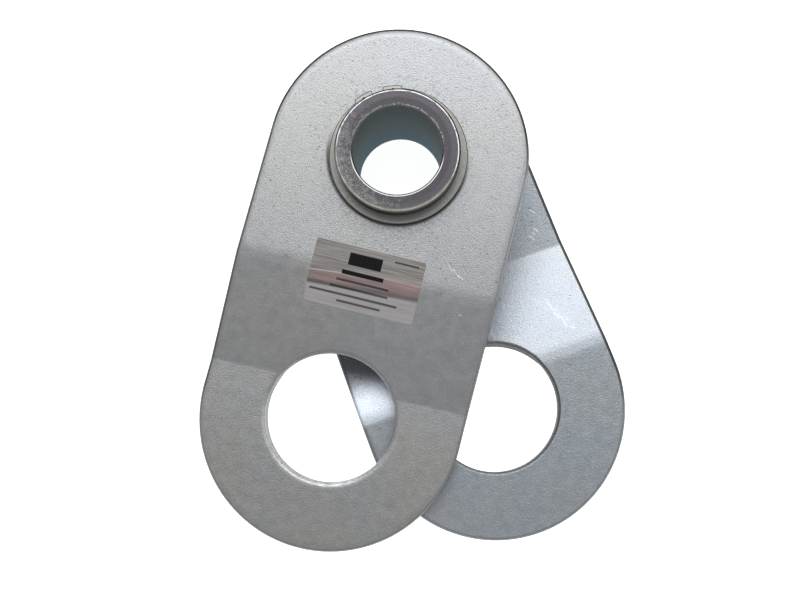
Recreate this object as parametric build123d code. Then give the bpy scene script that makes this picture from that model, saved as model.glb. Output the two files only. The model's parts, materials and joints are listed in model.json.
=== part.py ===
# Snatch block: two joggled side plates that swing on a hollow axle, a grooved sheave on a bronze
# bush between them, thrust washers, and a circlip in a groove near each end of the axle.
# Millimetres. The axle runs along Z through the origin, which is at its middle. The front plate is
# at +Z, and both plates hang towards -Y, splayed apart as when the block is opened for its rope.
import os
from math import asin, cos, radians, sin, sqrt, tan

from build123d import *

# Side plates
PLATE_THICKNESS = 8.0
HEAD_COVER = 6.0              # how far the round head stands beyond the sheave
SHACKLE_HOLE_RADIUS = 29.3
TAIL_LAND = 30.3              # width of the tail round the shackle hole
BEND_FROM_SHEAVE = 4.5        # sheave rim to the first bend
BEND_ANGLE = 12.5
BEND_RADIUS = 6.0             # inside radius of both bends
BEND_SKEW = 1.8               # degrees, the bends are pressed slightly out of square
HOLE_FROM_BEND = 12.0         # end of the second bend to the middle of the shackle hole
TAIL_GAP = 0.6                # between the two tails when the plates are closed
EDGE_ROUND = 1.2
FRONT_SWING = -13.2           # degrees, a positive swing moves a tail towards +X
REAR_SWING = 22.5

# Hollow axle and its circlips
AXLE_RADIUS = 28.0
AXLE_WALL = 8.0
AXLE_CHAMFER = 0.5
AXLE_OVERHANG = 7.1           # axle beyond each circlip groove
GROOVE_DEPTH = 1.5
CIRCLIP_THICKNESS = 2.0
CIRCLIP_BACK_WIDTH = 5.4      # width of the ring opposite its gap
CIRCLIP_TIP_WIDTH = 3.7       # width of the ring beside its lugs
CIRCLIP_GAP = 5.0
CIRCLIP_TURN = 109.0          # direction of the front circlip's gap, degrees from +X
LUG_STAND = 1.4               # how far a lug stands out of the ring
LUG_WIDTH = 8.5
LUG_HOLE_RADIUS = 1.25
LUG_ROUND = 0.5

# Sheave, bush and thrust washers
ROPE_DIAMETER = 13.0
ROPE_SEAT_RATIO = 0.525       # groove radius over rope diameter
FLANK_ANGLE = 15.0
RIM_LAND = 1.28
RIM_ROUND = 0.5
HUB_WALL = 7.92               # bush to the bottom of the groove
BUSH_WALL = 4.0
BUSH_CHAMFER = 0.5
WASHER_WALL = 8.0
WASHER_THICKNESS = 1.2
WASHER_CHAMFER = 0.2

# Label on the front plate, across its first bend
LABEL_LENGTH = 50.2
LABEL_WIDTH = 28.8
LABEL_CORNER = 2.0
LABEL_THICKNESS = 0.15
LABEL_FROM_BEND = 1.2         # first bend to the middle of the label
LABEL_TURN = 0.8              # degrees, it is stuck on slightly out of square

# Clearances
RUNNING_CLEARANCE = 0.08      # radial, on the axle
WASHER_CLEARANCE = 0.15       # radial on the axle, and at each side of a washer
CIRCLIP_SEAT = 0.05           # circlip to the bottom of its groove
CIRCLIP_PLAY = 0.15           # groove wider than its circlip
END_PLAY = 0.2                # plate to circlip groove
CUT_MARGIN = 2.0              # how far a cutter stands out of the sheet

# Sheave sizes that follow
RUNNING_RADIUS = AXLE_RADIUS + RUNNING_CLEARANCE
SHEAVE_BORE = RUNNING_RADIUS + BUSH_WALL
SHEAVE_RADIUS = SHEAVE_BORE + HUB_WALL + ROPE_DIAMETER
ROPE_SEAT = ROPE_DIAMETER * ROPE_SEAT_RATIO
SEAT_CENTRE = SHEAVE_RADIUS - ROPE_DIAMETER + ROPE_SEAT
FLANK_RADIUS = SEAT_CENTRE - ROPE_SEAT * sin(radians(FLANK_ANGLE))
FLANK_START = ROPE_SEAT * cos(radians(FLANK_ANGLE))
GROOVE_MOUTH = FLANK_START + (SHEAVE_RADIUS - FLANK_RADIUS) * tan(radians(FLANK_ANGLE))
SHEAVE_WIDTH = 2 * (GROOVE_MOUTH + RIM_LAND)

# Plate sizes that follow, with distances measured from the axle
HEAD_RADIUS = SHEAVE_RADIUS + HEAD_COVER
TAIL_RADIUS = SHACKLE_HOLE_RADIUS + TAIL_LAND
HEAD_INSIDE = SHEAVE_WIDTH / 2 + WASHER_THICKNESS + 2 * WASHER_CLEARANCE
HEAD_MIDDLE = HEAD_INSIDE + PLATE_THICKNESS / 2
TAIL_MIDDLE = TAIL_GAP / 2 + PLATE_THICKNESS / 2
BEND_MIDDLE = BEND_RADIUS + PLATE_THICKNESS / 2
BEND_TANGENT = tan(radians(BEND_ANGLE) / 2)
FIRST_BEND = SHEAVE_RADIUS + BEND_FROM_SHEAVE
SECOND_BEND = FIRST_BEND + (HEAD_MIDDLE - TAIL_MIDDLE) / tan(radians(BEND_ANGLE))
BEND_END = SECOND_BEND + BEND_MIDDLE * BEND_TANGENT
TAIL_DISTANCE = (BEND_END + HOLE_FROM_BEND) / cos(radians(BEND_SKEW))
SIDE = Plane(origin=(0, 0, 0), x_dir=(0, -1, 0), z_dir=(-1, 0, 0))

# Axle sizes that follow
GROOVE_WIDTH = CIRCLIP_THICKNESS + CIRCLIP_PLAY
GROOVE_START = HEAD_INSIDE + PLATE_THICKNESS + END_PLAY
AXLE_HALF = GROOVE_START + GROOVE_WIDTH + AXLE_OVERHANG


def section_corners(height):
    """Corners of the bent sheet's section, at a height above its middle, as (distance, z)."""
    shift = height * BEND_TANGENT
    return [
        (-HEAD_RADIUS - CUT_MARGIN, HEAD_MIDDLE + height),
        (FIRST_BEND + shift, HEAD_MIDDLE + height),
        (SECOND_BEND + shift, TAIL_MIDDLE + height),
        (TAIL_DISTANCE + TAIL_RADIUS + CUT_MARGIN, TAIL_MIDDLE + height),
    ]


def bent_band(low, high):
    """The joggled layer between two heights above the sheet's middle, wider than the plate."""
    below = FilletPolyline(section_corners(low), radius=[BEND_MIDDLE + low, BEND_MIDDLE - low])
    above = FilletPolyline(section_corners(high), radius=[BEND_MIDDLE + high, BEND_MIDDLE - high])
    ends = [Edge.make_line(below @ 0, above @ 0), Edge.make_line(below @ 1, above @ 1)]
    section = SIDE * make_face(below.edges() + above.edges() + ends)
    reach = max(HEAD_RADIUS, TAIL_RADIUS) + TAIL_DISTANCE * sin(radians(BEND_SKEW)) + CUT_MARGIN
    return Rot(0, 0, BEND_SKEW) * extrude(section, amount=reach, both=True)


def plate_outline():
    """Round head and tail joined by their common tangents."""
    lean = asin((TAIL_RADIUS - HEAD_RADIUS) / TAIL_DISTANCE)
    head_x, head_y = HEAD_RADIUS * cos(lean), HEAD_RADIUS * sin(lean)
    tail_x, tail_y = TAIL_RADIUS * cos(lean), TAIL_RADIUS * sin(lean) - TAIL_DISTANCE
    sides = Polygon((head_x, head_y), (-head_x, head_y), (-tail_x, tail_y), (tail_x, tail_y), align=None)
    return sides + Circle(HEAD_RADIUS) + Pos(0, -TAIL_DISTANCE) * Circle(TAIL_RADIUS)


def shackle_cutter():
    """The hole is punched square to the flat sheet, which is then bent across it."""
    depth = PLATE_THICKNESS + 2 * CUT_MARGIN
    angle = radians(BEND_ANGLE)

    def station(turn):
        """Plane across the sheet in the second bend, turned by so much from the flat tail."""
        y = BEND_MIDDLE * sin(turn) - BEND_END
        z = BEND_MIDDLE * (1 - cos(turn)) + TAIL_MIDDLE
        return Plane(origin=(0, y, z), x_dir=(1, 0, 0), z_dir=(0, cos(turn), sin(turn)))

    def half_chord(turn):
        return sqrt(SHACKLE_HOLE_RADIUS ** 2 - (HOLE_FROM_BEND + BEND_MIDDLE * turn) ** 2)

    def punched(turn, side):
        """The part of the round cutter on one side of the bend, square to the sheet there."""
        across = station(turn)
        sheet = Plane(origin=across.origin, x_dir=(1, 0, 0), z_dir=across.y_dir * -1)
        half = Rectangle(4 * SHACKLE_HOLE_RADIUS, 4 * SHACKLE_HOLE_RADIUS, align=(Align.CENTER, side))
        disc = Pos(0, -HOLE_FROM_BEND - BEND_MIDDLE * turn) * Circle(SHACKLE_HOLE_RADIUS)
        return extrude(sheet * (disc & half), amount=depth / 2, both=True)

    turns = [angle * step / 4 for step in range(5)]
    bent = loft([station(turn) * Rectangle(2 * half_chord(turn), depth) for turn in turns])
    cutter = punched(0, Align.MAX) + bent + punched(angle, Align.MIN)
    return Rot(0, 0, BEND_SKEW) * Pos(-TAIL_DISTANCE * sin(radians(BEND_SKEW)), 0, 0) * cutter


def is_rim(edge):
    """True for an edge round the plate or a hole, false for a bend line or a seam in a wall."""
    run = edge.tangent_at(0.5)
    bend_line = edge.geom_type == GeomType.LINE and abs(run.X) > 0.9
    seam = abs(run.Z) > 0.9
    return not (bend_line or seam)


def side_plate():
    """One joggled plate, outer face towards +Z, tail towards -Y."""
    half = PLATE_THICKNESS / 2
    plate = bent_band(-half, half) & extrude(plate_outline(), amount=HEAD_MIDDLE + PLATE_THICKNESS)
    plate -= Cylinder(RUNNING_RADIUS, 4 * HEAD_MIDDLE)
    plate -= shackle_cutter()
    return fillet([edge for edge in plate.edges() if is_rim(edge)], EDGE_ROUND)


def axle_tube():
    """Turned tube with a circlip groove near each end."""
    bore = AXLE_RADIUS - AXLE_WALL
    section = Pos(bore, 0) * Rectangle(AXLE_WALL, 2 * AXLE_HALF, align=(Align.MIN, Align.CENTER))
    section = chamfer(section.vertices(), AXLE_CHAMFER)
    for side in (1, -1):
        place = Pos(AXLE_RADIUS - GROOVE_DEPTH, side * (GROOVE_START + GROOVE_WIDTH / 2))
        section -= place * Rectangle(2 * GROOVE_DEPTH, GROOVE_WIDTH, align=(Align.MIN, Align.CENTER))
    return revolve(Plane.XZ * section, Axis.Z)


def circlip():
    """External circlip, thickest opposite its gap, with a drilled lug at each side of the gap."""
    inside = AXLE_RADIUS - GROOVE_DEPTH + CIRCLIP_SEAT
    outside = inside + (CIRCLIP_BACK_WIDTH + CIRCLIP_TIP_WIDTH) / 2
    offset = (CIRCLIP_BACK_WIDTH - CIRCLIP_TIP_WIDTH) / 2
    lug_height = CIRCLIP_TIP_WIDTH + LUG_STAND
    lug_reach = inside + lug_height
    lug_span = CIRCLIP_GAP + 2 * LUG_WIDTH
    lugs = Circle(lug_reach) & Rectangle(lug_reach, lug_span, align=(Align.MIN, Align.CENTER))
    ring = Pos(-offset, 0) * Circle(outside) + lugs - Circle(inside)
    ring -= Rectangle(2 * lug_reach, CIRCLIP_GAP, align=(Align.MIN, Align.CENTER))
    corners = [v for v in ring.vertices() if abs(Vector(v.X, v.Y).length - lug_reach) < LUG_ROUND / 5]
    ring = fillet(corners, LUG_ROUND)
    hole_y = (CIRCLIP_GAP + LUG_WIDTH) / 2
    hole_x = sqrt((inside + lug_height / 2) ** 2 - hole_y ** 2)
    for side in (1, -1):
        ring -= Pos(hole_x, side * hole_y) * Circle(LUG_HOLE_RADIUS)
    return extrude(ring, amount=CIRCLIP_THICKNESS)


def sheave():
    """Rope wheel with a round-bottomed groove."""
    reach = SHEAVE_RADIUS + CUT_MARGIN
    mouth = GROOVE_MOUTH + CUT_MARGIN * tan(radians(FLANK_ANGLE))
    groove = Polygon((FLANK_RADIUS, -FLANK_START), (reach, -mouth), (reach, mouth),
                     (FLANK_RADIUS, FLANK_START), align=None)
    groove += Pos(SEAT_CENTRE, 0) * Circle(ROPE_SEAT)
    wheel = Rectangle(SHEAVE_RADIUS - SHEAVE_BORE, SHEAVE_WIDTH, align=(Align.MIN, Align.CENTER))
    section = Pos(SHEAVE_BORE, 0) * wheel - groove
    rims = [v for v in section.vertices() if abs(v.X - SHEAVE_RADIUS) < RIM_ROUND / 5]
    return revolve(Plane.XZ * fillet(rims, RIM_ROUND), Axis.Z)


def sleeve(inside, wall, length, edge):
    """Plain bush or washer with its edges broken."""
    section = Pos(inside, 0) * Rectangle(wall, length, align=(Align.MIN, Align.CENTER))
    return revolve(Plane.XZ * chamfer(section.vertices(), edge), Axis.Z)


def foil_label():
    """Foil label that follows the front plate's outer face over its first bend."""
    top = PLATE_THICKNESS / 2
    place = Pos(0, -FIRST_BEND - LABEL_FROM_BEND) * Rot(0, 0, LABEL_TURN)
    blank = place * RectangleRounded(LABEL_LENGTH, LABEL_WIDTH, LABEL_CORNER)
    return bent_band(top, top + LABEL_THICKNESS) & extrude(blank, amount=2 * HEAD_MIDDLE)


def build_pieces():
    front_turn = Rot(0, 0, FRONT_SWING)
    rear_turn = Rot(0, 0, REAR_SWING)
    turned_over = Rot(0, 180, 0)
    washer = sleeve(AXLE_RADIUS + WASHER_CLEARANCE, WASHER_WALL, WASHER_THICKNESS, WASHER_CHAMFER)
    washer_z = SHEAVE_WIDTH / 2 + WASHER_CLEARANCE + WASHER_THICKNESS / 2
    clip_z = GROOVE_START + (GROOVE_WIDTH - CIRCLIP_THICKNESS) / 2
    front_clip = Pos(0, 0, clip_z) * Rot(0, 0, CIRCLIP_TURN) * circlip()
    plate = side_plate()
    return {
        "front_plate": front_turn * plate,
        "rear_plate": rear_turn * turned_over * plate,
        "foil_label": front_turn * foil_label(),
        "axle_tube": axle_tube(),
        "front_circlip": front_clip,
        "rear_circlip": turned_over * front_clip,
        "front_thrust_washer": Pos(0, 0, washer_z) * washer,
        "rear_thrust_washer": Pos(0, 0, -washer_z) * washer,
        "sheave": sheave(),
        "sheave_bush": sleeve(RUNNING_RADIUS, BUSH_WALL, SHEAVE_WIDTH, BUSH_CHAMFER),
    }


os.makedirs("parts", exist_ok=True)
for name, piece in build_pieces().items():
    export_step(piece, f"parts/{name}.step")
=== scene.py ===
"""Looks of the snatch block: zinc plates, scuffed hollow axle, circlips, foil label, sheave and bush.

Metres, in the CAD frame. The block lies on a pale floor and the camera looks down on it.
Patterns are worked out in millimetres, in each piece's own frame, so they turn with the piece.
"""
import json
from math import atan2, cos, pi, radians, sin
from types import SimpleNamespace

import bpy
from mathutils import Matrix, Vector


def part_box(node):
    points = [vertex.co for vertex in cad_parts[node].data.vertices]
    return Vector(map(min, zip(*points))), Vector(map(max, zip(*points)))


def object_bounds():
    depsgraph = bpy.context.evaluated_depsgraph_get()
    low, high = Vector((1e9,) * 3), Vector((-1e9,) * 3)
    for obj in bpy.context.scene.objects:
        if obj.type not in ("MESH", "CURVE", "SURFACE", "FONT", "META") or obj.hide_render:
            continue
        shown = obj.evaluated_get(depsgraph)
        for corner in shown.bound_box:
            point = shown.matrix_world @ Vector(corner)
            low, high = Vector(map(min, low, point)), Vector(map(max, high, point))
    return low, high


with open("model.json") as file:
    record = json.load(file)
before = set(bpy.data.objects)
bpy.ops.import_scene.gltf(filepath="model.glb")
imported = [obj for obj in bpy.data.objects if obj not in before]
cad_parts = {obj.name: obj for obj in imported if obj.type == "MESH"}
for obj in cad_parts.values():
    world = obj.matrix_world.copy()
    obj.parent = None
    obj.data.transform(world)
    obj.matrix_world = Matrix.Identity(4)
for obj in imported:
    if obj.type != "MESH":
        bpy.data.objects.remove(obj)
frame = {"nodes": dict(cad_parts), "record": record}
cad_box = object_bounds()

MM_PER_METRE = 1000.0
MOUNTS = {mount["name"]: mount for mount in frame["record"]["mounts"]}


def swing_of(mount_name):
    """Angle that a plate is swung by at rest, from its shackle hole's place."""
    x, y, _ = MOUNTS[mount_name]["pos_m"]
    return atan2(x, -y)


FRONT_SWING = swing_of("front_shackle_hole")
REAR_SWING = swing_of("rear_shackle_hole")

# Plate sizes in millimetres, from the frame
HOLE_RADIUS = MOUNTS["front_shackle_hole"]["dims"]["r_mm"]
HOLE_DISTANCE = Vector(MOUNTS["front_shackle_hole"]["pos_m"]).xy.length * MM_PER_METRE
HOLE_Y = MOUNTS["front_shackle_hole"]["pos_m"][1] * MM_PER_METRE
HEAD_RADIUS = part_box("front_plate")[1].y * MM_PER_METRE
TAIL_RADIUS = HOLE_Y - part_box("front_plate")[0].y * MM_PER_METRE

# Bends as distance from the axle and length of the arc, in millimetres, on the outer and inner face:
# in the solid, and in the real sheet, which turns gently on its convex side and sharply on the other
BEND_ANGLE = radians(12.5)
BEND_SKEW = radians(1.8)
SOLID_OUTER = ((57.94, 3.05), (108.46, 1.31))
SOLID_INNER = ((57.06, 1.31), (107.58, 3.05))
SHEET_OUTER = ((56.2, 8.0), (106.8, 1.5))
SHEET_INNER = ((59.1, 1.3), (107.2, 8.7))

# Edges rolled over by the punch: width and depth in millimetres, and how late in that width they turn
# down. The outline's roll shrinks to a share of its depth between two levels of y, towards the tail.
ROLL_WIDTH = 4.8
ROLL_DEPTH = 0.75
HOLE_ROLL_WIDTH = 3.4
HOLE_ROLL_DEPTH = 0.7
ROLL_POWER = 2.6
ROLL_LEVELS = (-110.0, -60.0)
TAIL_ROLL_SHARE = 0.3

# Noise as scale per millimetre, detail and roughness
ZINC_GRAIN = (1.6, 3.0, 0.7)
ZINC_MOTTLE = (0.24, 3.0, 0.55)
ZINC_CLOUD = (0.028, 2.0, 0.5)
ZINC_FLECKS = (1.0, 1.0, 0.5)
ZINC_SPECKS = (1.7, 1.0, 0.5)

# Heights of bumps in millimetres, for a whole step of their pattern
GRAIN_DEPTH = 0.17
FOIL_DEPTH = 0.02
AXLE_DEPTH = 0.06
CLIP_DEPTH = 0.06
TURNED_DEPTH = 0.05
BRONZE_DEPTH = 0.03

# Each plate's zinc. side: 1 where its outer face looks up, -1 where it looks down. tone: linear grey.
# red, blue: tint beside green. fade: the tone's share at the head and at the tail, painted light
# and shade along the plate. roughness: the middle of its range. edge_line: width in millimetres of the
# painted shade line along the outline. line_lean: how much more that line shows on the right.
# speck_levels: y below which specks are faint, and above which not.
FRONT_ZINC = SimpleNamespace(
    side=1, tone=0.42, red=0.985, blue=1.020, fade=(1.11, 0.885), roughness=0.41, edge_line=1.2,
    line_lean=-0.12, speck_levels=(-64.0, -48.0),
)
REAR_ZINC = SimpleNamespace(
    side=-1, tone=0.46, red=0.920, blue=1.110, fade=(0.88, 0.98), roughness=0.32, edge_line=1.5,
    line_lean=0.35, speck_levels=(-114.0, -100.0),
)

# FADE_LEVELS: y where the painted light fade starts and ends. FAINT_SPECKS: how opaque faint specks are
# beside others.
# ROUGHER_EDGE: what cut walls and the painted shade line add to roughness.
FADE_LEVELS = (40.0, -150.0)
FAINT_SPECKS = 0.2
# Tone of bare bright metal, in scratches and in painted highlights
WEAR_AND_HIGHLIGHT_TONE = 0.80
ROUGHER_EDGE = 0.22

# Bands on the plates in millimetres, each from where there is none to where there is most: a darker
# band in from the outline, a painted contact shadow and dirt smudges out from the axle, and painted
# shade and a painted highlight out from the shackle hole's edge
EDGE_DARKENING_BAND = (3.4, 0.8)
CONTACT_SHADOW_BAND = (33.2, 31.6)
SMUDGE_BAND = (42.0, 32.0)
FRONT_RIM_SHADE_BAND = (1.3, 0.8)
RIM_HIGHLIGHT_BAND = (2.4, 0.4)
REAR_RIM_SHADE_BAND = (1.15, 0.85)

# Painted shadow and painted reflection on the rear plate where it shows through the front hole: x, then y
# on either side, as bands
PAINTED_PATCH_X = (-10.0, -30.0)
PAINTED_SHADOW_Y = ((-93.0, -84.0), (-64.0, -72.0))
PAINTED_REFLECTION_Y = ((-88.0, -97.0), (-110.0, -105.0))

# Marks as x, y, turn in degrees, length and width, in millimetres in the plate's frame
FRONT_SCRATCHES = (
    (35.6, -43.6, -48, 4.5, 0.35), (38.6, -45.2, -42, 5.5, 0.35), (41.0, -46.6, -25, 3.5, 0.35),
    (45.0, -62.9, -15, 1.6, 0.5),
)
REAR_SCRATCHES = (
    (51.9, -41.2, -51, 4.0, 0.35), (50.2, -50.1, -62, 4.0, 0.35), (47.0, -53.0, -58, 4.0, 0.4),
    (48.6, -51.4, -58, 2.2, 0.3),
)
REAR_SCUFFS = (
    (42.0, -88.0, -78, 14, 1.2), (44.5, -93.5, -84, 12, 1.0), (38.5, -84.5, -70, 9, 0.9),
    (47.0, -97.0, -80, 9, 1.0),
)

# Label in millimetres: its middle in the front plate's frame, its turn and height, then plain bars
# and rules as x, y, width and height from its middle, and how soft their edges are
LABEL_Y = -58.7
LABEL_TURN = radians(0.8)
LABEL_HEIGHT = 28.8
LABEL_BARS = ((-1.5, 8.0, 15.0, 5.6), (-1.3, 1.7, 19.0, 1.9))
LABEL_RULES = (
    (16.8, 11.1, 11.0, 0.8), (-0.5, -2.0, 24.0, 1.0), (-1.5, -5.2, 26.5, 1.0), (-3.4, -8.3, 40.0, 1.0),
    (-0.4, -11.3, 20.0, 1.0),
)
INK_EDGE = 0.15
INK = 0.016
RULE_STRENGTH = 0.75

# Foil's darker and lighter tone in each band of painted reflection, from the label's top to its bottom,
# then the level and the slope of the pinkish band's top and of the lowest tone's top
FOIL_UPPER = ((0.165, 0.158, 0.153, 1), (0.365, 0.348, 0.338, 1))
FOIL_BAND = ((0.235, 0.180, 0.178, 1), (0.440, 0.345, 0.340, 1))
FOIL_DARK = ((0.130, 0.120, 0.118, 1), (0.270, 0.245, 0.240, 1))
FOIL_LOWER = ((0.420, 0.407, 0.408, 1), (0.535, 0.520, 0.522, 1))
BAND_LEVEL = 1.7
BAND_SLOPE = 0.10
LOWER_LEVEL = -5.2
LOWER_SLOPE = 0.05
FOIL_ROUGHNESS = 0.60

# Axle in millimetres, and its tones. Painted highlights on the rims lie OUTER_RIM in from the outside and
# BORE_RIM out from the bore, as wide as RIM_REACH to either side. AXLE_GLANCE tints reflections at
# grazing angles.
AXLE_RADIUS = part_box("axle_tube")[1].x * MM_PER_METRE
BORE_RADIUS = MOUNTS["axle_bore"]["dims"]["r_mm"]
WALL_MIDDLE = AXLE_RADIUS - 4.0
OUTER_RIM = 0.95
BORE_RIM = 0.72
RIM_REACH = (0.30, 0.12)
END_FACE = ((0.095, 0.091, 0.103, 1), (0.138, 0.132, 0.148, 1))
AXLE_OUTSIDE = ((0.120, 0.118, 0.100, 1), (0.045, 0.045, 0.038, 1))
AXLE_BORE = ((0.148, 0.168, 0.164, 1), (0.088, 0.134, 0.154, 1))
AXLE_GLANCE = (0.70, 0.79, 0.82, 1)

# Circlip in millimetres: its outer circle, which is set off its inner one, its lugs and its gap
CLIP_GAP_TURN = radians(109.0)
CLIP_RADIUS = 31.1
CLIP_OFFSET = 0.85
LUG_REACH = 31.65
LUG_SPAN = 22.0
CLIP_GAP = 5.0

# Light, as radiance, where white is 1. The world is white up to a height of the view direction, where
# straight up is 1, and dims to WORLD_LIGHT at a second height. Places and sizes are in metres.
KEY_LIGHT = 2.52
WORLD_LIGHT = 0.48
WORLD_HEIGHTS = (0.05, 0.60)
FLOOR_GLOW = 0.91
FLOOR_REACH = 12.0
SOFTBOX_PLACE = Vector((0, 1.45, 1.60))
SOFTBOX_SIZE = (2.6, 1.8)

# Camera fitted to the photo: place in metres, view direction, the way to its right, lens in millimetres
CAMERA_PLACE = Vector((0.016001, -0.113108, 0.468586))
CAMERA_FORWARD = Vector((-0.029640, 0.105240, -0.994005)).normalized()
CAMERA_RIGHT = Vector((0.999306, 0.025549, -0.027093)).normalized()
CAMERA_LENS = 45.863
CAMERA_SENSOR = 36.0


class Paint:
    """A material's nodes, added and linked by short calls.

    Values are numbers or sockets. place is in millimetres in the piece's own frame, turned back by an
    angle, such as a plate's swing, and spot is its x, y and z.
    """

    def __init__(self, name, turn=0.0):
        self.material = bpy.data.materials.new(name)
        self.material.use_nodes = True
        self.nodes = self.material.node_tree.nodes
        self.links = self.material.node_tree.links
        self.shader = self.nodes["Principled BSDF"]
        source = self.add("ShaderNodeTexCoord")
        self.normal = self.parts(source.outputs["Normal"])
        mapping = self.add("ShaderNodeMapping", {"Vector": source.outputs["Object"]})
        mapping.inputs["Scale"].default_value = (MM_PER_METRE,) * 3
        mapping.inputs["Rotation"].default_value = (0, 0, -turn)
        self.place = mapping.outputs["Vector"]
        self.spot = self.parts(self.place)

    def add(self, kind, inputs=None, **settings):
        """New node with its inputs fed and its settings set."""
        node = self.nodes.new(kind)
        for key, value in settings.items():
            setattr(node, key, value)
        for key, value in (inputs or {}).items():
            self.feed(node.inputs[key], value)
        return node

    def feed(self, socket, value):
        """Link a socket to the input, or set the input to a constant."""
        if isinstance(value, bpy.types.NodeSocket):
            self.links.new(value, socket)
        else:
            socket.default_value = value

    def math(self, operation, *values):
        """One step of arithmetic."""
        return self.add("ShaderNodeMath", dict(enumerate(values)), operation=operation).outputs[0]

    def weighted(self, *pairs):
        """Sum of values, each times its weight."""
        total = 0.0
        for value, weight in pairs:
            total = self.math("MULTIPLY_ADD", value, weight, total)
        return total

    def product(self, first, *others):
        """Values multiplied together."""
        total = first
        for value in others:
            total = self.math("MULTIPLY", total, value)
        return total

    def length(self, x, y):
        """Length of a flat vector."""
        return self.math("SQRT", self.weighted((x, x), (y, y)))

    def parts(self, vector):
        """The x, y and z of a vector."""
        return self.add("ShaderNodeSeparateXYZ", {"Vector": vector}).outputs

    def stretched(self, scale):
        """Place scaled along each axis, for a pattern with a grain."""
        return self.add("ShaderNodeMapping", {"Vector": self.place, "Scale": scale}).outputs["Vector"]

    def noise(self, scale, detail=2.0, rough=0.5, place=None):
        """Noise around 0.5, over the piece's place unless another is given."""
        inputs = {"Vector": place or self.place, "Scale": scale, "Detail": detail, "Roughness": rough}
        return self.add("ShaderNodeTexNoise", inputs).outputs["Fac"]

    def between(self, value, low, high, out_low=0.0, out_high=1.0, smooth=True):
        """Value mapped from low..high to out_low..out_high. Low may be more than high."""
        inputs = {
            "Value": value, "From Min": low, "From Max": high, "To Min": out_low, "To Max": out_high,
        }
        kind = "SMOOTHSTEP" if smooth else "LINEAR"
        return self.add("ShaderNodeMapRange", inputs, interpolation_type=kind).outputs["Result"]

    def near(self, value, middle, far, close):
        """0 where a value is more than far from the middle, 1 where it is less than close."""
        off = self.math("ABSOLUTE", self.math("SUBTRACT", value, middle))
        return self.between(off, far, close)

    def facing(self, low, high):
        """0 to 1 as the face's normal goes from low to high along the axle, either way up."""
        return self.between(self.math("ABSOLUTE", self.normal[2]), low, high)

    def mix(self, kind, share, first, second, **settings):
        """Mix of two numbers or colours."""
        node = self.add("ShaderNodeMix", data_type=kind, **settings)
        for name, value in (("Factor", share), ("A", first), ("B", second)):
            self.feed(node.inputs[name], value)
        return node.outputs["Result"]

    def blend(self, share, first, second):
        """Colour from first at 0 to second at 1."""
        return self.mix("RGBA", share, first, second)

    def over(self, colour, coat, *shares):
        """Colour with a coat over it, as opaque as the product of some shares."""
        return self.blend(self.product(*shares), colour, coat)

    def tinted(self, colour, tint):
        """Product of two colours."""
        return self.mix("RGBA", 1.0, colour, tint, blend_type="MULTIPLY")

    def bump(self, height, depth, under=None):
        """Bump of a height field, where a height of 1 is a depth in millimetres."""
        inputs = {"Height": height, "Distance": depth / MM_PER_METRE, "Strength": 1.0}
        if under is not None:
            inputs["Normal"] = under
        return self.add("ShaderNodeBump", inputs).outputs["Normal"]

    def finish(self, colour, roughness, normal=None, metallic=1.0):
        """Feed the shader and return the material."""
        self.feed(self.shader.inputs["Base Color"], colour)
        self.feed(self.shader.inputs["Roughness"], roughness)
        self.feed(self.shader.inputs["Metallic"], metallic)
        if normal is not None:
            self.feed(self.shader.inputs["Normal"], normal)
        return self.material


def grey(value, red=1.0, blue=1.0):
    """An almost neutral linear colour."""
    return (value * red, value, value * blue, 1.0)


def edge_black(look):
    """Almost black tone of a cut edge in shade."""
    return (look.tone * 0.12, look.tone * 0.13, look.tone * 0.11, 1)


def stroke(paint, x, y, turn, length, width):
    """1 on a short straight scratch, fading at its ends, 0 elsewhere. The turn is in degrees."""
    moved = paint.add("ShaderNodeMapping", {"Vector": paint.place, "Location": (-x, -y, 0)})
    spin = {"Vector": moved.outputs["Vector"], "Rotation": (0, 0, -radians(turn))}
    along, across, _ = paint.parts(paint.add("ShaderNodeMapping", spin).outputs["Vector"])
    reach = paint.between(paint.math("ABSOLUTE", along), length / 2, length / 3)
    line = paint.between(paint.math("ABSOLUTE", across), width, width / 4)
    return paint.product(reach, line)


def strokes(paint, marks):
    """The strongest of several strokes."""
    total = 0.0
    for mark in marks:
        total = paint.math("MAXIMUM", total, stroke(paint, *mark))
    return total


def outline(paint):
    """Distance in from the plate's outline, round the axle and the shackle hole, and the way out there."""
    x, y, _ = paint.spot
    share = paint.between(y, 0.0, -HOLE_DISTANCE, smooth=False)
    y = paint.math("MULTIPLY_ADD", share, HOLE_DISTANCE, y)
    radius = paint.math("MULTIPLY_ADD", share, TAIL_RADIUS - HEAD_RADIUS, HEAD_RADIUS)
    length = paint.length(x, y)
    out_x, out_y = (paint.math("DIVIDE", part, length) for part in (x, y))
    return paint.math("SUBTRACT", radius, length), out_x, out_y


def outside_hole(paint):
    """Distance out from the edge of the shackle hole."""
    x, y, _ = paint.spot
    y = paint.math("ADD", y, HOLE_DISTANCE)
    return paint.math("SUBTRACT", paint.length(x, y), HOLE_RADIUS)


def rolled(paint, distance, width, depth):
    """Height, in millimetres, below the face where punching rolled an edge over."""
    share = paint.between(distance, width, 0.0, smooth=False)
    return paint.product(paint.math("POWER", share, ROLL_POWER), -depth)


def climb(paint, along, bend, sign):
    """Height, in millimetres, of a face that turns up at a bend, or down where the sign is -1."""
    middle, arc = bend
    height = 0.0
    for end, weight in ((middle - arc / 2, sign), (middle + arc / 2, -sign)):
        past = paint.math("MAXIMUM", paint.math("SUBTRACT", along, end), 0.0)
        square = paint.math("POWER", past, 2.0)
        height = paint.math("MULTIPLY_ADD", square, weight * BEND_ANGLE / (2 * arc), height)
    return height


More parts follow.
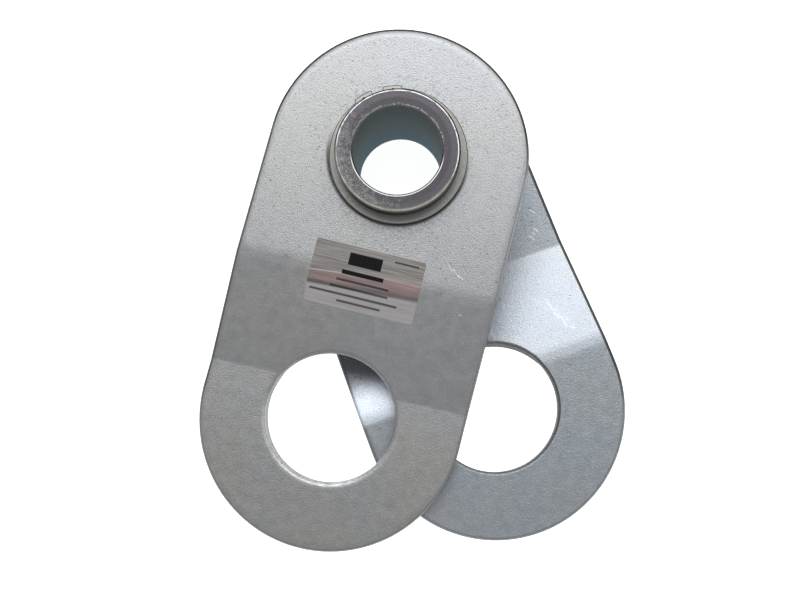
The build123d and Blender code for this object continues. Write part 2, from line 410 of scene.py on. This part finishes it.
def rebent(paint, along, sheet, solid, sign):
    """Height, in millimetres, that moves both bends of one face from the solid's to the sheet's."""
    height = 0.0
    for real, modelled, turn in zip(sheet, solid, (sign, -sign)):
        height = paint.math("ADD", height, climb(paint, along, real, turn))
        height = paint.math("ADD", height, climb(paint, along, modelled, -turn))
    return height


def pressed_form(paint, side, from_edge, from_hole):
    """Height, in millimetres, of what pressing adds to the solid: rolled edges and wider bends."""
    x, y, _ = paint.spot
    along = paint.weighted((x, side * sin(BEND_SKEW)), (y, -cos(BEND_SKEW)))
    outline_roll = rolled(paint, from_edge, ROLL_WIDTH, ROLL_DEPTH)
    outline_roll = paint.product(outline_roll, paint.between(y, *ROLL_LEVELS, TAIL_ROLL_SHARE, 1.0))
    outer = paint.math("ADD", outline_roll, rolled(paint, from_hole, HOLE_ROLL_WIDTH, HOLE_ROLL_DEPTH))
    outer = paint.math("ADD", outer, rebent(paint, along, SHEET_OUTER, SOLID_OUTER, -1))
    inner = rebent(paint, along, SHEET_INNER, SOLID_INNER, 1)
    on_outer = paint.between(paint.product(paint.normal[2], side), -0.3, 0.1)
    return paint.mix("FLOAT", on_outer, inner, outer)


def plating(paint, look, grain, mottle):
    """Zinc colour: grain, soft blotches, dark flecks and specks, and a painted light fade along the plate.
    """
    y = paint.spot[1]
    level = paint.weighted((grain, 0.6), (mottle, 0.4))
    shade = paint.between(level, 0.32, 0.68, smooth=False)
    darker, lighter = (grey(look.tone * share, look.red, look.blue) for share in (0.88, 1.10))
    colour = paint.blend(shade, darker, lighter)
    patch = paint.between(paint.noise(*ZINC_CLOUD), 0.38, 0.62)
    colour = paint.tinted(colour, paint.blend(patch, grey(1.0, 1.0, 0.985), grey(1.0, 0.98, 1.02)))
    # Painted light and shade: lighter or darker from the head to the tail, as the light falls on the plate
    down = paint.between(y, *FADE_LEVELS, smooth=False)
    head, tail = look.fade
    colour = paint.tinted(colour, paint.blend(down, grey(head), grey(tail, 1.02, 0.98)))

    opaque = paint.between(y, *look.speck_levels, FAINT_SPECKS, 1.0)
    flecks = paint.between(paint.noise(*ZINC_FLECKS), 0.67, 0.73)
    specks = paint.between(paint.noise(*ZINC_SPECKS), 0.62, 0.72)
    colour = paint.over(colour, grey(look.tone * 0.34), flecks, opaque, 0.65)
    return paint.over(colour, grey(look.tone * 0.45), specks, opaque, 0.38)


def darkened_edge(paint, look, grain, colour, edge):
    """Colour with a darker band inside the head's outline and a painted shade line along it, and that
    line.
    """
    from_edge, out_x, out_y = edge
    # A patchy darker band inside the outline, most at the top
    top = paint.between(paint.weighted((out_y, 1.0), (out_x, -0.3)), -0.5, 0.9, smooth=False)
    patchy = paint.between(grain, 0.25, 0.65, 0.50, 1.0)
    edge_darkening = paint.product(paint.between(from_edge, *EDGE_DARKENING_BAND), patchy)
    colour = paint.over(colour, grey(look.tone * 0.28), edge_darkening, paint.math("POWER", top, 2.0))

    # Painted shade: a dark line along the outline, strongest where the edge faces up and to one side
    away = paint.between(paint.weighted((out_y, 1.0), (out_x, look.line_lean)), -0.35, 0.35)
    line = paint.between(from_edge, look.edge_line + 0.15, look.edge_line - 0.15)
    line = paint.product(line, paint.math("MAXIMUM", away, 0.35))
    return paint.over(colour, edge_black(look), line, 0.95), line


def front_marks_and_painted_light(paint, look, grain, mottle, colour, from_hole):
    """Colour with the front plate's dirt smudges and painted light and shade, and how dark its cut walls
    are.

    A painted contact shadow lies round the circlip's lower half, with dirt smudges round it, and the
    hole's edge has painted shade above and a painted highlight below.
    """
    x, y, _ = paint.spot
    from_axle = paint.length(x, y)
    # Painted contact shadow round the circlip's lower half
    below_axle = paint.between(y, 8.0, -10.0)
    patchy = paint.between(grain, 0.2, 0.7, 0.6, 1.0)
    contact_shadow = paint.between(from_axle, *CONTACT_SHADOW_BAND)
    colour = paint.over(colour, grey(look.tone * 0.10), contact_shadow, patchy, below_axle)
    blots = paint.between(paint.noise(0.55), 0.54, 0.66)
    smudge = paint.between(from_axle, *SMUDGE_BAND)
    colour = paint.over(colour, grey(look.tone * 0.45), smudge, blots, 0.35)

    up_right = paint.math("ADD", paint.weighted((y, 1.0), (x, 0.5)), HOLE_DISTANCE)
    above_hole = paint.between(up_right, -4.0, 12.0)
    # Painted shade along the hole's edge above it
    rim = paint.between(from_hole, *FRONT_RIM_SHADE_BAND)
    colour = paint.over(colour, grey(look.tone * 0.40), rim, above_hole, 0.4)
    steep = paint.facing(0.50, 0.20)
    below_hole = paint.between(up_right, -8.0, -22.0)
    below_hole = paint.product(below_hole, paint.math("SUBTRACT", 1.0, steep))
    # Painted highlight, patchy, along the hole's edge below it
    rim_highlight = paint.between(from_hole, *RIM_HIGHLIGHT_BAND)
    rim_highlight = paint.product(rim_highlight, paint.between(mottle, 0.3, 0.6, 0.35, 0.8))
    colour = paint.over(colour, grey(WEAR_AND_HIGHLIGHT_TONE), rim_highlight, below_hole)
    # Cut walls take painted shade, less on the hole's lower wall, where the light falls
    on_outline = paint.math("MAXIMUM", paint.between(from_hole, 1.5, 3.0), 0.45)
    return colour, paint.product(steep, paint.math("MAXIMUM", above_hole, on_outline))


def rear_painted_light(paint, look, colour, from_hole):
    """Colour with the rear plate's painted light and shade, and how dark its cut walls are.

    A painted shadow and a painted reflection lie where it shows through the front hole, and the hole's
    edge has painted shade.
    """
    x, y, _ = paint.spot
    # Painted shadow and painted reflection where the plate shows through the front hole
    left = paint.between(x, *PAINTED_PATCH_X)
    painted_shadow = paint.product(left, *(paint.between(y, *band) for band in PAINTED_SHADOW_Y))
    colour = paint.over(colour, grey(look.tone * 0.10), painted_shadow, 0.55)
    bright = paint.product(left, *(paint.between(y, *band) for band in PAINTED_REFLECTION_Y))
    colour = paint.over(colour, grey(WEAR_AND_HIGHLIGHT_TONE, look.red, look.blue), bright, 0.6)
    # Painted shade along the hole's edge
    rim = paint.between(from_hole, *REAR_RIM_SHADE_BAND)
    colour = paint.over(colour, edge_black(look), rim, 0.75)
    # Cut walls take painted shade
    return colour, paint.facing(0.80, 0.40)


def zinc(name, turn, look, scratches, scuffs=()):
    """Dull zinc plating: fine grain over soft blotches, rolled edges, painted shade on punched walls,
    scratches.
    """
    paint = Paint(name, turn)
    grain = paint.noise(*ZINC_GRAIN)
    mottle = paint.noise(*ZINC_MOTTLE)
    edge = outline(paint)
    from_edge = edge[0]
    from_hole = outside_hole(paint)

    colour = plating(paint, look, grain, mottle)
    colour, line = darkened_edge(paint, look, grain, colour, edge)
    if look.side > 0:
        colour, wall = front_marks_and_painted_light(paint, look, grain, mottle, colour, from_hole)
    else:
        colour, wall = rear_painted_light(paint, look, colour, from_hole)
    # Painted shade on the cut walls, over their streaky sheared finish
    streak = paint.between(paint.noise(1.0, 2.0, 0.6, paint.stretched((1.2, 1.2, 0.15))), 0.30, 0.70)
    wall_shade = paint.blend(streak, edge_black(look), grey(look.tone * 0.22, 0.99, 0.94))
    colour = paint.over(colour, wall_shade, wall, 0.9)
    marks = strokes(paint, scratches)
    colour = paint.over(colour, grey(WEAR_AND_HIGHLIGHT_TONE), marks, 0.65)
    if scuffs:
        rub = paint.product(strokes(paint, scuffs), paint.between(mottle, 0.42, 0.58))
        colour = paint.over(colour, grey(0.62, look.red, look.blue), rub, 0.5)

    form = pressed_form(paint, look.side, from_edge, from_hole)
    height = paint.weighted((grain, 1.0), (mottle, 0.3), (marks, -0.3))
    normal = paint.bump(height, GRAIN_DEPTH, paint.bump(form, 1.0))
    low, high = look.roughness - 0.05, look.roughness + 0.05
    roughness = paint.between(mottle, 0.3, 0.7, low, high, smooth=False)
    roughness = paint.weighted((roughness, 1.0), (wall, ROUGHER_EDGE), (line, ROUGHER_EDGE))
    return paint.finish(colour, roughness, normal)


def bars(paint, x, y, rectangles):
    """1 inside any of some upright rectangles, 0 outside, from a place given as two sockets."""
    total = 0.0
    for middle_x, middle_y, width, height in rectangles:
        inside_x = paint.near(x, middle_x, width / 2 + INK_EDGE, width / 2 - INK_EDGE)
        inside_y = paint.near(y, middle_y, height / 2 + INK_EDGE, height / 2 - INK_EDGE)
        total = paint.math("MAXIMUM", total, paint.product(inside_x, inside_y))
    return total


def brushed_foil():
    """Foil brushed along the label, in slanting bands of painted reflection, with plain bars and rules."""
    paint = Paint("brushed_foil", FRONT_SWING + LABEL_TURN)
    x = paint.math("SUBTRACT", paint.spot[0], LABEL_Y * sin(LABEL_TURN))
    y = paint.math("SUBTRACT", paint.spot[1], LABEL_Y * cos(LABEL_TURN))
    brush = paint.noise(1.0, 3.0, 0.7, paint.stretched((0.03, 1.7, 1.0)))
    fine = paint.noise(1.0, 2.0, 0.6, paint.stretched((0.12, 5.0, 1.0)))
    level = paint.weighted((brush, 0.65), (fine, 0.35))
    shade = paint.between(level, 0.36, 0.62, smooth=False)
    upper, band, dark, lower = (
        paint.blend(shade, *tones) for tones in (FOIL_UPPER, FOIL_BAND, FOIL_DARK, FOIL_LOWER)
    )

    above_band = paint.weighted((y, 1.0), (x, -BAND_SLOPE), (1.0, -BAND_LEVEL))
    above_lower = paint.weighted((y, 1.0), (x, -LOWER_SLOPE), (1.0, -LOWER_LEVEL))
    # Painted reflection: slanting bands of tone down the label
    colour = paint.blend(paint.between(above_band, 0.2, -0.4), upper, band)
    colour = paint.blend(paint.between(above_lower, 2.6, 1.2), colour, dark)
    colour = paint.blend(paint.between(above_lower, 0.6, -0.6), colour, lower)
    # Painted reflection: a light line along the pinkish band's top
    band_top_reflection = paint.near(above_band, 0.3, 0.5, 0.1)
    colour = paint.over(colour, (0.62, 0.56, 0.55, 1), band_top_reflection, paint.between(x, 8.0, -14.0, 0.15, 0.8))
    # Painted highlight along the label's top edge
    top_edge_highlight = paint.between(y, LABEL_HEIGHT / 2 - 0.7, LABEL_HEIGHT / 2 - 0.3)
    colour = paint.over(colour, (0.62, 0.60, 0.58, 1), top_edge_highlight, 0.6)

    rules = paint.product(bars(paint, x, y, LABEL_RULES), RULE_STRENGTH)
    ink = paint.math("MAXIMUM", rules, bars(paint, x, y, LABEL_BARS))
    colour = paint.over(colour, grey(INK), ink)
    return paint.finish(colour, FOIL_ROUGHNESS, paint.bump(level, FOIL_DEPTH))


def axle_end(paint, radius, grain, mottle):
    """Colour of an end face: scuffed to the left, with painted highlights and painted shade on its rims,
    and a painted highlight round the bore's lower half.
    """
    x, y, _ = paint.spot
    end = paint.blend(grain, *END_FACE)
    to_left = paint.between(paint.weighted((x, 1.0), (y, 0.45)), 8.0, -26.0, 0.0, 0.20)
    speckle = paint.weighted((paint.noise(2.4, 3.0, 0.7), 1.0), (mottle, 0.4), (to_left, 1.0))
    end = paint.over(end, grey(0.32, 1.0, 0.97), paint.between(speckle, 0.86, 0.98), 0.80)

    upper = paint.between(y, -6.0, 8.0)
    near_bore = paint.product(paint.between(radius, BORE_RADIUS + 2.4, BORE_RADIUS + 0.6), upper)
    chips = paint.weighted((paint.noise(1.4, 3.0, 0.7), 1.0), (near_bore, 0.22))
    end = paint.over(end, grey(0.40), paint.between(chips, 0.66, 0.80), near_bore)

    from_rim = paint.math("SUBTRACT", AXLE_RADIUS, radius)
    lit = paint.between(paint.weighted((x, 0.25), (y, 0.97)), -13.0, 3.0)
    below = paint.between(y, -8.0, -20.0)
    tan = paint.product(paint.between(from_rim, 2.2, 1.4), paint.between(grain, 0.3, 0.6, 0.45, 1.0))
    end = paint.over(end, (0.215, 0.205, 0.175, 1), tan, below)
    end = paint.over(end, (0.150, 0.145, 0.115, 1), paint.between(from_rim, 0.55, 0.35))
    # Painted highlight inside the outer rim, strongest where the light falls
    bright = paint.near(from_rim, OUTER_RIM, *RIM_REACH)
    bright = paint.product(bright, paint.between(mottle, 0.34, 0.56, 0.35, 1.0))
    end = paint.over(end, grey(0.85), bright, paint.math("MAXIMUM", lit, 0.35))
    # Painted shade along the outer edge, where the light falls
    end = paint.over(end, grey(0.020), paint.between(from_rim, 0.65, 0.50), lit)

    from_bore = paint.math("SUBTRACT", radius, BORE_RADIUS)
    # Painted highlight round the bore's lower half
    lip_highlight = paint.near(from_bore, BORE_RIM, *RIM_REACH)
    end = paint.over(end, grey(0.90), lip_highlight, paint.between(y, 0.0, -8.0))
    # Painted shade on the bore's edge, darker above than below
    corner = paint.blend(upper, grey(0.02), grey(0.22, 1.0, 0.92))
    return paint.over(end, corner, paint.between(from_bore, 0.5, 0.35))


def turned_axle():
    """Dark scuffed end faces, teal-grey bore darker deeper in as painted shade, and dark plated outside.
    """
    paint = Paint("turned_axle")
    x, y, z = paint.spot
    radius = paint.length(x, y)
    grain = paint.noise(1.6, 3.0, 0.7)
    mottle = paint.noise(0.35, 3.0, 0.6)

    outside = paint.blend(paint.between(x, 14.0, -14.0), *AXLE_OUTSIDE)
    outside = paint.tinted(outside, paint.blend(grain, grey(0.8), grey(1.2)))
    # The bore is teal-grey, darker and bluer deeper in: the darkening is painted shade
    inside = paint.blend(paint.between(z, 8.0, -24.0), *AXLE_BORE)
    inside = paint.tinted(inside, paint.blend(mottle, grey(0.85), grey(1.15)))
    in_bore = paint.between(radius, WALL_MIDDLE + 0.5, WALL_MIDDLE - 0.5)
    colour = paint.blend(in_bore, outside, inside)
    colour = paint.over(colour, axle_end(paint, radius, grain, mottle), paint.facing(0.35, 0.55))

    paint.shader.inputs["Specular Tint"].default_value = AXLE_GLANCE
    height = paint.weighted((grain, 1.0), (mottle, 1.0))
    roughness = paint.mix("FLOAT", in_bore, 0.42, 0.62)
    return paint.finish(colour, roughness, paint.bump(height, AXLE_DEPTH))


def inside_clip(paint):
    """Distance in from the circlip's outer edge, round its lugs and along its gap."""
    x, y, _ = paint.spot
    beside = paint.math("ABSOLUTE", y)
    radius = paint.length(paint.math("ADD", x, CLIP_OFFSET), y)
    in_ring = paint.math("SUBTRACT", CLIP_RADIUS, radius)
    in_lug = paint.math("SUBTRACT", LUG_REACH, paint.length(x, y))
    in_lug = paint.math("MINIMUM", in_lug, paint.math("SUBTRACT", LUG_SPAN / 2, beside))
    in_lug = paint.math("MINIMUM", in_lug, x)
    off_gap = paint.math("SUBTRACT", beside, CLIP_GAP / 2)
    off_gap = paint.math("MAXIMUM", off_gap, paint.product(x, -1.0))
    return paint.math("MINIMUM", paint.math("MAXIMUM", in_ring, in_lug), off_gap)


def spring_steel(name, gap_turn):
    """Plated spring steel of a circlip: painted light by its lugs, painted shade on its cut edges and
    outline.
    """
    paint = Paint(name, gap_turn)
    grain = paint.noise(1.4, 3.0, 0.6)
    mottle = paint.noise(0.3, 2.0, 0.5)
    colour = paint.blend(grain, grey(0.24, 1.0, 0.96), grey(0.36, 1.0, 0.96))
    # Painted light: lighter by the lugs, where the light falls
    painted_light_by_lugs = paint.between(paint.spot[0], 10.0, 24.0)
    colour = paint.over(colour, grey(0.42, 1.0, 0.99), painted_light_by_lugs, 0.8)
    # Painted shade along the outline
    outline_shade = paint.between(inside_clip(paint), 0.55, 0.15)
    colour = paint.over(colour, (0.030, 0.030, 0.024, 1), outline_shade, 0.85)
    # Painted shade on the cut edges
    colour = paint.over(colour, (0.026, 0.026, 0.020, 1), paint.facing(0.80, 0.30))
    height = paint.weighted((grain, 1.0), (mottle, 1.0))
    return paint.finish(colour, 0.40, paint.bump(height, CLIP_DEPTH))


def turned_steel(name, tone, pitch):
    """Lathe-turned steel with concentric tool marks, a pitch in millimetres apart."""
    paint = Paint(name)
    x, y, z = paint.spot
    ring = {"X": paint.length(x, y), "Y": z, "Z": 0.0}
    ring = paint.add("ShaderNodeCombineXYZ", ring).outputs["Vector"]
    marks = paint.noise(1.0 / pitch, 2.0, 0.6, ring)
    mottle = paint.noise(0.25, 3.0, 0.55)
    level = paint.between(paint.weighted((marks, 0.6), (mottle, 0.4)), 0.3, 0.7, smooth=False)
    colour = paint.blend(level, grey(tone * 0.75), grey(tone * 1.25, 0.99, 1.02))
    return paint.finish(colour, 0.42, paint.bump(marks, TURNED_DEPTH))


def sintered_bronze():
    """Porous bronze of the bush."""
    paint = Paint("sintered_bronze")
    grain = paint.noise(2.2, 3.0, 0.7)
    mottle = paint.noise(0.3, 2.0, 0.5)
    colour = paint.blend(mottle, (0.40, 0.24, 0.09, 1), (0.52, 0.33, 0.14, 1))
    colour = paint.over(colour, (0.12, 0.075, 0.035, 1), paint.between(grain, 0.62, 0.72))
    return paint.finish(colour, 0.42, paint.bump(grain, BRONZE_DEPTH))


def pale_floor():
    """Almost white floor that glows enough to stay white in the picture."""
    paint = Paint("pale_floor")
    haze = paint.noise(0.004, 2.0, 0.5)
    colour = paint.blend(haze, grey(0.88), grey(0.92))
    paint.shader.inputs["Emission Color"].default_value = (1, 1, 1, 1)
    paint.shader.inputs["Emission Strength"].default_value = FLOOR_GLOW
    return paint.finish(colour, 0.7, metallic=0.0)


def add_materials():
    """Put its material on each CAD node."""
    washer = turned_steel("washer_steel", 0.40, 0.6)
    materials = {
        "front_plate": zinc("front_zinc", FRONT_SWING, FRONT_ZINC, FRONT_SCRATCHES),
        "rear_plate": zinc("rear_zinc", REAR_SWING, REAR_ZINC, REAR_SCRATCHES, REAR_SCUFFS),
        "foil_label": brushed_foil(),
        "axle_tube": turned_axle(),
        "front_circlip": spring_steel("front_spring_steel", CLIP_GAP_TURN),
        "rear_circlip": spring_steel("rear_spring_steel", pi - CLIP_GAP_TURN),
        "front_thrust_washer": washer,
        "rear_thrust_washer": washer,
        "sheave": turned_steel("sheave_steel", 0.33, 0.8),
        "sheave_bush": sintered_bronze(),
    }
    for name, material in materials.items():
        slots = frame["nodes"][name].data.materials
        slots.clear()
        slots.append(material)


def add_floor():
    """Plain floor at the part's lowest point."""
    low, high = -FLOOR_REACH, FLOOR_REACH
    mesh = bpy.data.meshes.new("floor")
    mesh.from_pydata([(low, low, 0), (high, low, 0), (high, high, 0), (low, high, 0)], [], [(0, 1, 2, 3)])
    floor = bpy.data.objects.new("floor", mesh)
    floor.location.z = cad_box[0].z
    floor.data.materials.append(pale_floor())
    bpy.context.scene.collection.objects.link(floor)


def add_world():
    """World that is white near the horizon and dimmer overhead."""
    world = bpy.data.worlds.new("studio")
    bpy.context.scene.world = world
    world.use_nodes = True
    tree = world.node_tree
    background = tree.nodes["Background"]
    background.inputs["Color"].default_value = (1, 1, 1, 1)
    way = tree.nodes.new("ShaderNodeTexCoord")
    split = tree.nodes.new("ShaderNodeSeparateXYZ")
    fall = tree.nodes.new("ShaderNodeMapRange")
    fall.interpolation_type = "SMOOTHSTEP"
    fall.inputs["From Min"].default_value, fall.inputs["From Max"].default_value = WORLD_HEIGHTS
    fall.inputs["To Min"].default_value = 1.0
    fall.inputs["To Max"].default_value = WORLD_LIGHT
    tree.links.new(way.outputs["Generated"], split.inputs["Vector"])
    tree.links.new(split.outputs["Z"], fall.inputs["Value"])
    tree.links.new(fall.outputs["Result"], background.inputs["Strength"])


def add_softbox():
    """One large softbox beyond the head, which faces the origin and is as bright as KEY_LIGHT says."""
    light = bpy.data.lights.new("key", "AREA")
    light.shape = "RECTANGLE"
    light.size, light.size_y = SOFTBOX_SIZE
    light.energy = KEY_LIGHT * pi * SOFTBOX_SIZE[0] * SOFTBOX_SIZE[1]
    lamp = bpy.data.objects.new("key", light)
    lamp.location = SOFTBOX_PLACE
    lamp.rotation_mode = "QUATERNION"
    lamp.rotation_quaternion = (Vector() - SOFTBOX_PLACE).to_track_quat("-Z", "Y")
    bpy.context.scene.collection.objects.link(lamp)


def add_camera():
    """Camera fitted to the photo."""
    data = bpy.data.cameras.new("camera")
    data.sensor_width = CAMERA_SENSOR
    data.lens = CAMERA_LENS
    data.clip_start, data.clip_end = 0.01, 50.0
    camera = bpy.data.objects.new("camera", data)
    bpy.context.scene.collection.objects.link(camera)
    up = CAMERA_RIGHT.cross(CAMERA_FORWARD)
    turn = Matrix((CAMERA_RIGHT, up, -CAMERA_FORWARD)).transposed()
    camera.matrix_world = Matrix.Translation(CAMERA_PLACE) @ turn.to_4x4()
    bpy.context.scene.camera = camera


add_materials()
add_floor()
add_world()
add_softbox()
add_camera()
bpy.context.scene.view_settings.view_transform = "Standard"
